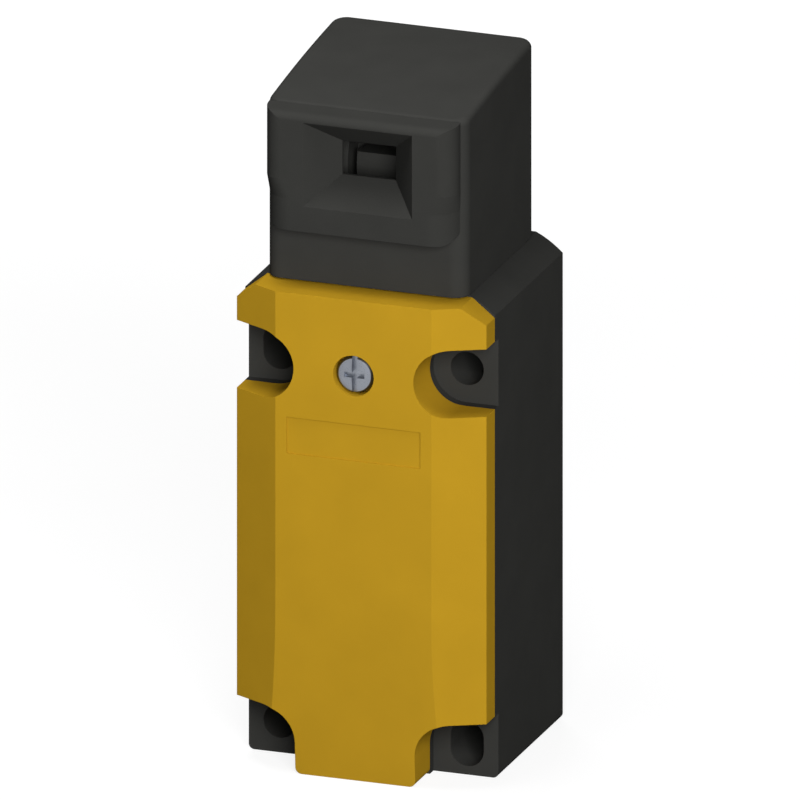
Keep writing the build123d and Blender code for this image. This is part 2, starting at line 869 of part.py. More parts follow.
def fixed_contacts(z, name):
    level = strip_level(z, name)
    up = -1 if name == "middle" else 1
    strips = []
    for side in (-1, 1):
        strip = strip_block(side, z, name, 0)
        centre = side * terminal_x
        half = terminal_pad / 2
        pad_low = min(z - half, level - strip_thick / 2)
        pad_high = max(z + half, level + strip_thick / 2)
        pad = block(centre - half, centre + half, block_front_y - strip_thick, block_front_y,
                    pad_low, pad_high)
        pad -= rod_y(terminal_screw_r + free_fit, centre, z,
                     block_front_y - strip_thick - cut_past, block_front_y + cut_past)
        face = level - up * strip_thick / 2
        low, high = sorted((face, face - up * button_height))
        button = post(button_r, side * button_place, head_axis_y, low, high)
        strips.append(strip + pad + button)
    return Compound(children=strips)


def bridge(z, name):
    level = bridge_level(z, name)
    up = -1 if name == "middle" else 1
    bar = block(-bridge_half, bridge_half, head_axis_y - bridge_depth / 2,
                head_axis_y + bridge_depth / 2, level - bridge_thick / 2, level + bridge_thick / 2)
    face = level + up * bridge_thick / 2
    low, high = sorted((face, face + up * button_height))
    for side in (-1, 1):
        bar += post(button_r, side * button_place, head_axis_y, low, high)
    return bar


def contact_spring(z, name):
    level = bridge_level(z, name)
    if name == "middle":
        low, high = level + bridge_thick / 2, z + window_height / 2
    else:
        low, high = z - window_height / 2, level - bridge_thick / 2
    return coil(spring_r, spring_wire_r, 0, head_axis_y, low, high, spring_coils)


def slider():
    half = slider_depth / 2
    bar = block(-slider_half, slider_half, head_axis_y - half, head_axis_y + half,
                slider_foot_z, slider_top_z)
    top = plateau_z + plunger_foot - plunger_gap
    bar += post(neck_rod_r, 0, head_axis_y, slider_top_z, top)
    for z in levels:
        bar -= block(-width, width, head_axis_y - window_depth / 2, head_axis_y + window_depth / 2,
                     z - window_height / 2, z + window_height / 2)
    return bar


def slider_return_spring():
    low = block_foot_z + block_floor
    return coil(return_r, return_wire_r, 0, head_axis_y, low, slider_foot_z, return_coils)


def contact_front():
    low = block_foot_z
    high = block_foot_z + block_height
    plate = block(-block_front_half, block_front_half, block_front_y - block_front_thick,
                  block_front_y, low, high)
    rib_y = head_axis_y - slider_depth / 2 - slider_gap
    plate += block(-slider_half + rib_margin, slider_half - rib_margin, block_front_y, rib_y,
                   low + block_floor, high)
    return plate


def contact_base_screws():
    seat = slider_back_y + slider_gap + block_screw_head
    screws = []
    for z in block_screw_levels():
        head = rod_y(block_screw_head_r - free_fit, 0, z, seat - block_screw_head, seat)
        shank = rod_y(block_screw_r - thread_play, 0, z, seat, -screw_end)
        screws.append(head + shank)
    return Compound(children=screws)


def terminal_washers(z):
    face = block_front_y - strip_thick
    half = washer_size / 2
    washers = []
    for side in (-1, 1):
        centre = side * terminal_x
        plate = block(centre - half, centre + half, face - washer_thick, face, z - half, z + half)
        hole = rod_y(terminal_screw_r + free_fit, centre, z, face - washer_thick - cut_past, face + cut_past)
        washers.append(plate - hole)
    return Compound(children=washers)


def terminal_screws(z):
    seat = block_front_y - strip_thick - washer_thick
    screws = []
    for side in (-1, 1):
        centre = side * terminal_x
        head = rod_y(terminal_head_r, centre, z, seat, seat - terminal_head)
        slot = block(centre - terminal_slot / 2, centre + terminal_slot / 2, seat - terminal_head - cut_past,
                     seat - terminal_head + terminal_slot_depth,
                     z - terminal_head_r, z + terminal_head_r)
        shank = rod_y(terminal_screw_r - thread_play, centre, z, seat, block_front_y + terminal_shank)
        screws.append(head + shank - slot)
    return Compound(children=screws)


def earth_plate():
    z = foot_z + earth_level
    half = earth_size / 2
    front = -rear_wall - earth_boss_height
    plate = block(earth_x - half, earth_x + half, front - earth_thick, front, z - half, z + half)
    return plate - rod_y(earth_screw_r, earth_x, z, front - earth_thick - cut_past, front + cut_past)


def earth_screw():
    z = foot_z + earth_level
    seat = -rear_wall - earth_boss_height - earth_thick
    top = seat - earth_screw_head
    screw = rod_y(earth_screw_r - thread_play, earth_x, z, seat, -screw_end)
    screw += rod_y(earth_screw_head_r, earth_x, z, seat, top)
    return screw - block(earth_x - earth_size / 2, earth_x + earth_size / 2, top - cut_past,
                         top + earth_slot_depth, z - earth_slot / 2, z + earth_slot / 2)


pieces = {
    "enclosure_body": enclosure_body(),
    "cover": cover(),
    "cover_screw": cover_screw(),
    "cover_insert": cover_insert(),
    "cover_gasket": cover_gasket(),
    "head_housing": head_housing(),
    "entry_bezel": entry_bezel(),
    "head_base_plate": head_base_plate(),
    "head_base_screws": head_base_screws(),
    "head_seal": head_seal(),
    "retaining_ring": retaining_ring(),
    "retaining_ring_screws": retaining_ring_screws(),
    "drum_cradle": drum_cradle(),
    "drum_axle": drum_axle(),
    "switching_drum": switching_drum(),
    "plunger": plunger(),
    "plunger_spring": plunger_spring(),
    "plunger_diaphragm": plunger_diaphragm(),
    "contact_base": contact_base(),
    "contact_front": contact_front(),
    "contact_base_screws": contact_base_screws(),
    "slider": slider(),
    "slider_return_spring": slider_return_spring(),
    "earth_plate": earth_plate(),
    "earth_screw": earth_screw(),
}
for level, level_name in zip(levels, level_names):
    pieces["bridge_" + level_name] = bridge(level, level_name)
    pieces["spring_" + level_name] = contact_spring(level, level_name)
    pieces["fixed_contacts_" + level_name] = fixed_contacts(level, level_name)
    pieces["terminal_washers_" + level_name] = terminal_washers(level)
    pieces["terminal_screws_" + level_name] = terminal_screws(level)

os.makedirs("parts", exist_ok=True)
for node, solid in pieces.items():
    export_step(solid, "parts/" + node + ".step")
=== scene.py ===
"""Dresses the key-operated position switch: moulded plastics, plated metal, rubber and fine turned pieces.

Everything is in metres in the part's own frame: +Z up, front towards -Y, origin on the rear face.
"""

import json
import logging
import math
from dataclasses import dataclass, field
from enum import Enum

import bmesh
import bpy
import numpy as np
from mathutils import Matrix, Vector


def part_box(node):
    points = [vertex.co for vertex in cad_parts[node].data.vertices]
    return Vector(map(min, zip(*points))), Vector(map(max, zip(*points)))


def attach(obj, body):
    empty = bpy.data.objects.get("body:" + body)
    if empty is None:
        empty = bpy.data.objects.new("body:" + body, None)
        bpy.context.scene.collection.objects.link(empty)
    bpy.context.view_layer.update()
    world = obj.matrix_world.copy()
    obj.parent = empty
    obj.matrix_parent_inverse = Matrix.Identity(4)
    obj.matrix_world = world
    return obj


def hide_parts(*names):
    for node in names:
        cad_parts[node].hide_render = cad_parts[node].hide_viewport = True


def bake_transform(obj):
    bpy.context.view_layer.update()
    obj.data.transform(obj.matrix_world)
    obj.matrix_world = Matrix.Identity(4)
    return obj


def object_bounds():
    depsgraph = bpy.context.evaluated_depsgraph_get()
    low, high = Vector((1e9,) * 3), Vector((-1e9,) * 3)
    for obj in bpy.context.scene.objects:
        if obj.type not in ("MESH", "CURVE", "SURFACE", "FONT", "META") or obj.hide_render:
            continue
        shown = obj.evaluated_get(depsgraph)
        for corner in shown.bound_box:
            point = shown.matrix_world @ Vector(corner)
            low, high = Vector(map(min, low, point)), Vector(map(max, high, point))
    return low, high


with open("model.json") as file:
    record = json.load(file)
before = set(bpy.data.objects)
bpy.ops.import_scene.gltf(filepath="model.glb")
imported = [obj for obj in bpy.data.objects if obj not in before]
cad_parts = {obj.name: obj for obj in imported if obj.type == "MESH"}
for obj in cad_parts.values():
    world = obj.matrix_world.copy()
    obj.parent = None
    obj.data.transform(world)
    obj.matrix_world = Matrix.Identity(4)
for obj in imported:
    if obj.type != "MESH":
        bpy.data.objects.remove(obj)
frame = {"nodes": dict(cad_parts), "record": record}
CAD_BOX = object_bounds()
LOG = logging.getLogger("position_switch")
MM = 0.001
WELD = 1e-5 * MM  # points nearer than this are one point
NOISE_RANGE = (0.3, 0.7)  # most of a noise factor lies in here
FORWARD = (0.0, -1.0, 0.0)
WHITE = (1.0, 1.0, 1.0, 1.0)


class Drive(Enum):
    """Tool recess in a screw's head."""

    SLOT = "slot"
    SLOT_AND_CROSS = "slot and cross"


def linear(red: int, green: int, blue: int) -> tuple[float, float, float, float]:
    """Turns an sRGB colour into scene-linear values.

    Args:
        red: Red level from 0 to 255.
        green: Green level from 0 to 255.
        blue: Blue level from 0 to 255.

    Returns:
        The linear colour with an alpha of 1.
    """
    levels = np.array([red, green, blue]) / 255.0
    low = levels / 12.92
    high = ((levels + 0.055) / 1.055) ** 2.4
    chosen = np.where(levels <= 0.04045, low, high)
    return (float(chosen[0]), float(chosen[1]), float(chosen[2]), 1.0)


@dataclass
class ShaderSheet:
    """Node tree of one material, with short calls for the nodes that the finishes share."""

    name: str
    material: bpy.types.Material = field(init=False)
    tree: bpy.types.NodeTree = field(init=False)
    shader: bpy.types.Node = field(init=False)
    place: bpy.types.NodeSocket = field(init=False)

    def __post_init__(self) -> None:
        """Starts the tree with its output, its shader and the object's coordinates."""
        self.material = bpy.data.materials.new(self.name)
        self.material.use_nodes = True
        self.tree = self.material.node_tree
        self.tree.nodes.clear()
        output = self.tree.nodes.new("ShaderNodeOutputMaterial")
        self.shader = self.tree.nodes.new("ShaderNodeBsdfPrincipled")
        self.tree.links.new(self.shader.outputs["BSDF"], output.inputs["Surface"])
        self.place = self.tree.nodes.new("ShaderNodeTexCoord").outputs["Object"]

    def stretched(self, scale: tuple[float, float, float]) -> bpy.types.NodeSocket:
        """Object coordinates stretched along the axes.

        Args:
            scale: Factor for each axis.

        Returns:
            The stretched coordinates.
        """
        mapping = self.tree.nodes.new("ShaderNodeMapping")
        mapping.inputs["Scale"].default_value = scale
        self.tree.links.new(self.place, mapping.inputs["Vector"])
        return mapping.outputs["Vector"]

    def noise(self, size: float, detail: float = 2.0,
              place: bpy.types.NodeSocket | None = None) -> bpy.types.NodeSocket:
        """Noise whose blobs have a real size.

        Args:
            size: Size of a blob in metres.
            detail: Number of finer octaves.
            place: Coordinates to read, the plain object coordinates if left out.

        Returns:
            The noise's factor.
        """
        node = self.tree.nodes.new("ShaderNodeTexNoise")
        node.inputs["Scale"].default_value = 1.0 / size
        node.inputs["Detail"].default_value = detail
        self.tree.links.new(place or self.place, node.inputs["Vector"])
        return node.outputs["Fac"]

    def spread(self, factor: bpy.types.NodeSocket, low: float, high: float) -> bpy.types.NodeSocket:
        """Carries a factor's middle range onto a range of values.

        Args:
            factor: Noise factor.
            low: Value at the lower end of NOISE_RANGE.
            high: Value at its upper end.

        Returns:
            The mapped value.
        """
        node = self.tree.nodes.new("ShaderNodeMapRange")
        node.inputs["From Min"].default_value = NOISE_RANGE[0]
        node.inputs["From Max"].default_value = NOISE_RANGE[1]
        node.inputs["To Min"].default_value = low
        node.inputs["To Max"].default_value = high
        self.tree.links.new(factor, node.inputs["Value"])
        return node.outputs["Result"]

    def blend(self, factor: bpy.types.NodeSocket, first: tuple, second: tuple) -> bpy.types.NodeSocket:
        """Mixes two colours.

        Args:
            factor: Share of the second colour.
            first: Colour at 0.
            second: Colour at 1.

        Returns:
            The mixed colour.
        """
        node = self.tree.nodes.new("ShaderNodeMix")
        node.data_type = "RGBA"
        node.inputs["A"].default_value = first
        node.inputs["B"].default_value = second
        self.tree.links.new(factor, node.inputs["Factor"])
        return node.outputs["Result"]

    def bump(self, height: bpy.types.NodeSocket, depth: float, strength: float, edge: float = 0.0) -> None:
        """Puts a fine relief on the shader's normal, over softened edges.

        Args:
            height: Height factor from 0 to 1.
            depth: Relief in metres between 0 and 1.
            strength: Share of the relief that is used.
            edge: Radius in metres by which sharp edges look rounded, none at 0.
        """
        node = self.tree.nodes.new("ShaderNodeBump")
        node.inputs["Distance"].default_value = depth
        node.inputs["Strength"].default_value = strength
        self.tree.links.new(height, node.inputs["Height"])
        if edge > 0:
            rounding = self.tree.nodes.new("ShaderNodeBevel")
            rounding.samples = 4
            rounding.inputs["Radius"].default_value = edge
            self.tree.links.new(rounding.outputs["Normal"], node.inputs["Normal"])
        self.tree.links.new(node.outputs["Normal"], self.shader.inputs["Normal"])


@dataclass(frozen=True)
class MouldedPlastic:
    """Spark-eroded moulded plastic: even colour, slight clouding, fine grain."""

    name: str
    colour: tuple[float, float, float, float]
    roughness: float = 0.5
    scatter: float = 0.05
    grain: float = 0.22 * MM
    relief: float = 0.012 * MM
    clouding: float = 0.05
    cloud: float = 9 * MM
    gloss: float = 0.5
    edge: float = 0.12 * MM

    def material(self) -> bpy.types.Material:
        """Makes the material.

        Returns:
            The plastic's material.
        """
        sheet = ShaderSheet(self.name)
        clouds = sheet.spread(sheet.noise(self.cloud, detail=3.0), 0.0, 1.0)
        dark = tuple(level * (1 - self.clouding) for level in self.colour[:3]) + (1.0,)
        light = tuple(min(1.0, level * (1 + self.clouding)) for level in self.colour[:3]) + (1.0,)
        sheet.tree.links.new(sheet.blend(clouds, dark, light), sheet.shader.inputs["Base Color"])
        grain = sheet.noise(self.grain)
        rough = sheet.spread(grain, self.roughness - self.scatter, self.roughness + self.scatter)
        sheet.tree.links.new(rough, sheet.shader.inputs["Roughness"])
        sheet.shader.inputs["Specular IOR Level"].default_value = self.gloss
        sheet.bump(grain, self.relief, strength=1.0, edge=self.edge)
        return sheet.material


@dataclass(frozen=True)
class WorkedMetal:
    """Turned or stamped metal with fine tool marks along one axis."""

    name: str
    colour: tuple[float, float, float, float]
    roughness: float = 0.32
    marks: tuple[float, float, float] = (1.0, 6.0, 1.0)
    size: float = 0.12 * MM
    relief: float = 0.004 * MM
    tarnish: float = 0.14
    patch: float = 1.6 * MM
    polish: float = 0.08
    wear: float = 0.1

    def material(self) -> bpy.types.Material:
        """Makes the material.

        Returns:
            The metal's material.
        """
        sheet = ShaderSheet(self.name)
        marks = sheet.noise(self.size, detail=3.0, place=sheet.stretched(self.marks))
        patches = sheet.spread(sheet.noise(self.patch), 0.0, 1.0)
        dull = tuple(level * (1 - self.tarnish) for level in self.colour[:3]) + (1.0,)
        sheet.tree.links.new(sheet.blend(patches, dull, self.colour), sheet.shader.inputs["Base Color"])
        sheet.shader.inputs["Metallic"].default_value = 1.0
        rough = sheet.spread(marks, self.roughness - self.polish, self.roughness + self.wear)
        sheet.tree.links.new(rough, sheet.shader.inputs["Roughness"])
        sheet.bump(marks, self.relief, strength=0.7)
        return sheet.material


@dataclass(frozen=True)
class SealRubber:
    """Dull black rubber with a talc bloom."""

    name: str
    colour: tuple[float, float, float, float]
    bloom: float = 0.35
    roughness: float = 0.78
    patch: float = 2.5 * MM
    grain: float = 0.3 * MM
    relief: float = 0.02 * MM

    def material(self) -> bpy.types.Material:
        """Makes the material.

        Returns:
            The rubber's material.
        """
        sheet = ShaderSheet(self.name)
        patches = sheet.spread(sheet.noise(self.patch, detail=4.0), 0.0, 1.0)
        pale = tuple(level * (1 + self.bloom) for level in self.colour[:3]) + (1.0,)
        sheet.tree.links.new(sheet.blend(patches, self.colour, pale), sheet.shader.inputs["Base Color"])
        sheet.shader.inputs["Roughness"].default_value = self.roughness
        sheet.bump(sheet.noise(self.grain, detail=3.0), self.relief, strength=0.8)
        return sheet.material


def finishes() -> dict[str, bpy.types.Material]:
    """Makes each finish once.

    Returns:
        The material of each of the record's slots.
    """
    made = {
        "enclosure": MouldedPlastic("enclosure_black", linear(57, 57, 55), roughness=0.6, gloss=0.0),
        "head": MouldedPlastic("head_black", linear(56, 56, 54), roughness=0.6, gloss=0.0, edge=0.05 * MM),
        "bezel": MouldedPlastic("bezel_black", linear(53, 53, 51), roughness=0.6, gloss=0.0, edge=0.05 * MM),
        "cover": MouldedPlastic("cover_yellow", linear(181, 141, 33), roughness=0.55, gloss=0.0,
                                clouding=0.03),
        "drum": MouldedPlastic("drum_black", linear(46, 46, 44), roughness=0.5, gloss=0.1),
        "plunger": MouldedPlastic("plunger_natural", linear(214, 208, 190), roughness=0.4),
        "slider": MouldedPlastic("slider_red", linear(168, 50, 38), roughness=0.42),
        "inner_plastic": MouldedPlastic("base_grey", linear(108, 111, 114), roughness=0.5),
        "contact_front": MouldedPlastic("front_plate_pale", linear(196, 196, 188), roughness=0.4),
        "contact_metal": WorkedMetal("silvered_copper", linear(206, 184, 142), roughness=0.28),
        "brass": WorkedMetal("turned_brass", linear(205, 170, 98), roughness=0.26, marks=(1.0, 8.0, 1.0)),
        "screw_steel": WorkedMetal("zinc_plated_steel", linear(140, 144, 152)),
        "spring_steel": WorkedMetal("drawn_wire", linear(158, 160, 164), roughness=0.25),
        "seal": SealRubber("seal_rubber", linear(34, 34, 34)),
    }
    return {slot: finish.material() for slot, finish in made.items()}


def add_piece(name: str, points: np.ndarray, faces: np.ndarray, material: bpy.types.Material,
              smooth_angle: float = 35.0) -> bpy.types.Object:
    """Puts computed points and faces into the scene as a mesh at the origin, normals outward.

    Args:
        name: The piece's name.
        points: Array of points, one row each.
        faces: Rows of four point numbers, where a triangle repeats its last number.
        material: The piece's finish.
        smooth_angle: Edges flatter than this many degrees are shaded smooth.

    Returns:
        The new object.
    """
    corners = np.where(faces[:, 2] == faces[:, 3], 3, 4)
    kept = np.arange(4)[None, :] < corners[:, None]
    mesh = bpy.data.meshes.new(name)
    mesh.vertices.add(len(points))
    mesh.vertices.foreach_set("co", points.ravel())
    mesh.loops.add(int(corners.sum()))
    mesh.loops.foreach_set("vertex_index", faces[kept])
    mesh.polygons.add(len(faces))
    mesh.polygons.foreach_set("loop_start", np.concatenate([[0], np.cumsum(corners)[:-1]]))
    mesh.update(calc_edges=True)
    turned = bmesh.new()
    turned.from_mesh(mesh)
    bmesh.ops.remove_doubles(turned, verts=turned.verts, dist=WELD)
    bmesh.ops.recalc_face_normals(turned, faces=turned.faces)
    turned.to_mesh(mesh)
    turned.free()
    mesh.polygons.foreach_set("use_smooth", np.ones(len(mesh.polygons), dtype=bool))
    mesh.set_sharp_from_angle(angle=math.radians(smooth_angle))
    mesh.materials.append(material)
    piece = bpy.data.objects.new(name, mesh)
    bpy.context.scene.collection.objects.link(piece)
    return piece


def grid_faces(rows: int, columns: int, first: int = 0, wrap: bool = False) -> np.ndarray:
    """Numbers the faces of a grid whose columns close on themselves.

    Args:
        rows: Number of rings of points.
        columns: Number of points in a ring.
        first: Number of the first point.
        wrap: Whether the last ring joins the first one.

    Returns:
        Rows of four point numbers.
    """
    row, column = np.meshgrid(np.arange(rows if wrap else rows - 1), np.arange(columns), indexing="ij")
    after = (column + 1) % columns
    below = (row + 1) % rows
    corners = [row * columns + column, row * columns + after, below * columns + after,
               below * columns + column]
    return np.stack([corner.ravel() for corner in corners], axis=1) + first


@dataclass(frozen=True)
class Axis:
    """Line that a turned piece is built along: where its heights start and which way they count up."""

    origin: tuple[float, float, float]
    towards: tuple[float, float, float]

    def place(self, across: np.ndarray, beside: np.ndarray, along: np.ndarray) -> np.ndarray:
        """Carries points from the piece's own directions into the part's frame.

        A point is origin + across * s + beside * t + along * towards. The direction s is the
        part's X made square to towards, and s, t and towards are right-handed.

        Args:
            across: Distances in the first direction.
            beside: Distances in the second direction.
            along: Distances along the axis.

        Returns:
            Array of points with a last axis of 3.
        """
        ahead = np.array(self.towards)
        level = np.array([1.0, 0.0, 0.0])
        first = level - ahead * (level @ ahead)
        first /= np.linalg.norm(first)
        second = np.cross(ahead, first)
        parts = (across[..., None] * first, beside[..., None] * second, along[..., None] * ahead)
        return np.array(self.origin) + parts[0] + parts[1] + parts[2]


def cap_ends(points: np.ndarray) -> tuple[np.ndarray, np.ndarray]:
    """Joins rings of points into a closed skin with a fan of triangles at both ends.

    Args:
        points: Array with one row for each ring, one column for each point in a ring, and a
            last axis of 3.

    Returns:
        The points in a list, and the faces as rows of four numbers, where a triangle
        repeats its last number.
    """
    rows, columns = points.shape[:2]
    flat = np.vstack([points.reshape(-1, 3), points[0].mean(axis=0), points[-1].mean(axis=0)])
    index = np.arange(columns)
    after = (index + 1) % columns
    first = np.full(columns, rows * columns)
    last = (rows - 1) * columns
    start = np.stack([first, after, index, index], axis=1)
    end = np.stack([first + 1, last + index, last + after, last + after], axis=1)
    return flat, np.vstack([grid_faces(rows, columns), start, end])


@dataclass(frozen=True)
class Screw:
    """Screw with a slotted or cross-slotted head and a rolled thread.

    arm_share is the cross's reach as a share of the head's flat radius. thread_share is the
    thread's depth and tip_share the tip's taper, both as shares of the pitch. tip_fade is the
    share of the thread that is left at the very tip.
    """

    name: str
    node: str
    body: str
    axis: Axis
    head_radius: float
    head_height: float
    shank_radius: float
    shank_length: float
    slot: float = 0.8 * MM
    slot_depth: float = 0.9 * MM
    drive: Drive = Drive.SLOT_AND_CROSS
    pitch: float = 0.7 * MM
    dome: float = 0.25 * MM
    chamfer: float = 0.3 * MM
    plain: float = 0.4 * MM
    arm_share: float = 0.62
    thread_share: float = 0.54
    tip_share: float = 0.35
    tip_fade: float = 0.4
    band_points: int = 9
    side_points: int = 11
    middle_points: int = 5
    rings_per_pitch: int = 10

    def head_grid(self) -> tuple[np.ndarray, np.ndarray, np.ndarray]:
        """Lays a grid over the head whose lines follow the slot's edges.

        Columns stand at distances u across the slot and rows at v along it, with u and v
        doubled at each slot edge. A point's height is the dome, h(u, v) = -dome (u² + v²) / R²,
        or the slot's floor where both copies lie inside the slot or the cross.

        Returns:
            Across, along the slot and height of every grid point, each of shape columns, rows.
        """
        half = self.slot / 2
        radius = self.head_radius - self.chamfer
        arm = radius * self.arm_share
        widest = math.sqrt(radius**2 - half**2)
        u_stops = [-widest, -arm, -half, half, arm, widest]
        u = np.linspace(u_stops[:-1], u_stops[1:], self.band_points, axis=1).ravel()
        u_band = np.repeat(np.arange(len(u_stops) - 1), self.band_points)
        reach = np.sqrt(np.maximum(radius**2 - u**2, half**2))
        share = np.linspace(0, 1, self.side_points)
        middle = np.linspace(-half, half, self.middle_points)
        low = -reach[:, None] + (reach[:, None] - half) * share[None, :]
        v = np.concatenate([low, np.broadcast_to(middle, (len(u), len(middle))), -low[:, ::-1]], axis=1)
        v_band = np.repeat([0, 1, 2], [self.side_points, self.middle_points, self.side_points])
        across = np.broadcast_to(u[:, None], v.shape)
        height = -self.dome * (across**2 + v**2) / radius**2
        slot_band, arm_bands, middle_band = 2, (1, 2, 3), 1
        in_slot = np.broadcast_to((u_band == slot_band)[:, None], v.shape)
        if self.drive is Drive.SLOT_AND_CROSS:
            in_slot = in_slot | (np.isin(u_band, arm_bands)[:, None] & (v_band == middle_band)[None, :])
        return across, v, np.where(in_slot, -self.slot_depth, height)

    def skirt(self, across: np.ndarray, beside: np.ndarray, top: np.ndarray) -> tuple[np.ndarray, ...]:
        """Hangs the head's side and the threaded shank from the rim of the head's grid.

        Ring i holds the rim's angles a at radius r(i, a) and depth z(i). The shank's radius is
        r = R - d |2 frac(z / pitch + a / 2 pi) - 1|, a ridge that climbs one pitch a turn, and
        d fades out at the neck and at the tip. Where the rim dips into the slot, the head's
        rings dip with it.

        Args:
            across: Rim points' distances across the slot.
            beside: Rim points' distances along the slot.
            top: Rim points' heights.

        Returns:
            Across, beside and height of the rings below the rim.
        """
        angle = np.arctan2(beside, across)
        seat = -self.head_height
        head_depths = np.array([-self.dome - self.chamfer, seat])
        count = int(self.shank_length / self.pitch * self.rings_per_pitch)
        depth = np.linspace(0, self.shank_length, count)
        ridge = np.abs(2 * np.mod(depth[:, None] / self.pitch + angle[None, :] / (2 * np.pi), 1) - 1)
        thread = self.thread_share * self.pitch
        start = np.clip((depth - self.plain) / self.pitch, 0, 1)
        tip = np.clip((self.shank_length - depth) / self.pitch, 0, 1)
        fade = (start * np.minimum(1, tip + self.tip_fade))[:, None]
        taper = self.tip_share * self.pitch * (1 - tip)[:, None]
        shank = self.shank_radius - thread * (fade * ridge) - taper
        radii = np.vstack([np.full((len(head_depths), len(angle)), self.head_radius), shank])
        heights = np.vstack([np.minimum(head_depths[:, None], top[None, :]),
                             np.broadcast_to(seat - depth[:, None], shank.shape)])
        return radii * np.cos(angle), radii * np.sin(angle), heights

    def build(self, material: bpy.types.Material) -> bpy.types.Object:
        """Makes the screw in place of its node's solid.

        Args:
            material: The screw's finish.

        Returns:
            The screw.
        """
        across, beside, height = self.head_grid()
        columns, rows = across.shape
        grid = np.arange(columns * rows).reshape(columns, rows)
        corners = (grid[:-1, :-1], grid[1:, :-1], grid[1:, 1:], grid[:-1, 1:])
        quads = np.stack(corners, axis=-1).reshape(-1, 4)
        rim = np.concatenate([grid[:-1, 0], grid[-1, :-1], grid[:0:-1, -1], grid[0, :0:-1]])
        flat = [part.ravel() for part in (across, beside, height)]
        rings = self.skirt(flat[0][rim], flat[1][rim], flat[2][rim])
        count = len(rim)
        first = columns * rows
        below = grid_faces(rings[0].shape[0], count, first)[:, ::-1]
        index = np.arange(count)
        after = (index + 1) % count
        joint = np.stack([rim[index], first + index, first + after, rim[after]], axis=1)
        last = first + (rings[0].shape[0] - 1) * count
        tip = np.full(count, first + rings[0].size)
        end = np.stack([tip, last + after, last + index, last + index], axis=1)
        u = np.concatenate([flat[0], rings[0].ravel(), [0.0]])
        v = np.concatenate([flat[1], rings[1].ravel(), [0.0]])
        w = np.concatenate([flat[2], rings[2].ravel(), [rings[2].min()]])
        points = self.axis.place(u, v, w)
        faces = np.vstack([quads, joint, below, end])
        piece = add_piece(self.name, points, faces, material, smooth_angle=25.0)
        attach(piece, self.body)
        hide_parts(self.node)
        return piece


@dataclass(frozen=True)
class CoilSpring:
    """Compression spring of round wire with closed end turns, standing along Z."""

    node: str
    still_body: str
    moving_body: str
    wire_radius: float
    turns: float = 3.2
    dead_turns: float = 0.75
    hangs: bool = False
    steps: int = 44
    sides: int = 12

    def build(self, material: bpy.types.Material) -> bpy.types.Object:
        """Makes the spring in the place of its node.

        The wire's centre line is c(t) = (R cos 2 pi t, R sin 2 pi t, z(t)) for t from 0 to all
        turns. z rises by one wire a turn in the dead turns at each end, or by a quarter of the
        height if that is less, and evenly between them. Around it lies a circle,
        c + r (outward cos a + upward sin a).

        Args:
            material: The wire's finish.

        Returns:
            The spring.
        """
        low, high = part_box(self.node)
        centre = (low + high) / 2
        radius = (high.x - low.x) / 2 - self.wire_radius
        rise = high.z - low.z - 2 * self.wire_radius
        total = self.turns + 2 * self.dead_turns
        count = int(total * self.steps) + 1
        turn = np.linspace(0, total, count)
        dead_rise = min(self.dead_turns * 2 * self.wire_radius, rise / 4)
        stops = [0, self.dead_turns, total - self.dead_turns, total]
        height = np.interp(turn, stops, [0, dead_rise, rise - dead_rise, rise])
        angle = 2 * np.pi * turn
        around = np.linspace(0, 2 * np.pi, self.sides, endpoint=False)
        reach = radius + self.wire_radius * np.cos(around)[None, :]
        points = np.stack([
            centre.x + reach * np.cos(angle)[:, None],
            centre.y + reach * np.sin(angle)[:, None],
            low.z + self.wire_radius + height[:, None] + self.wire_radius * np.sin(around)[None, :],
        ], axis=-1)
        piece = add_piece(f"{self.node}_wire", *cap_ends(points), material, smooth_angle=60.0)
        ends = [(centre.x, centre.y, low.z), (centre.x, centre.y, high.z)]
        if self.hangs:
            ends.reverse()
        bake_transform(piece)
        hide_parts(self.node)
        return piece


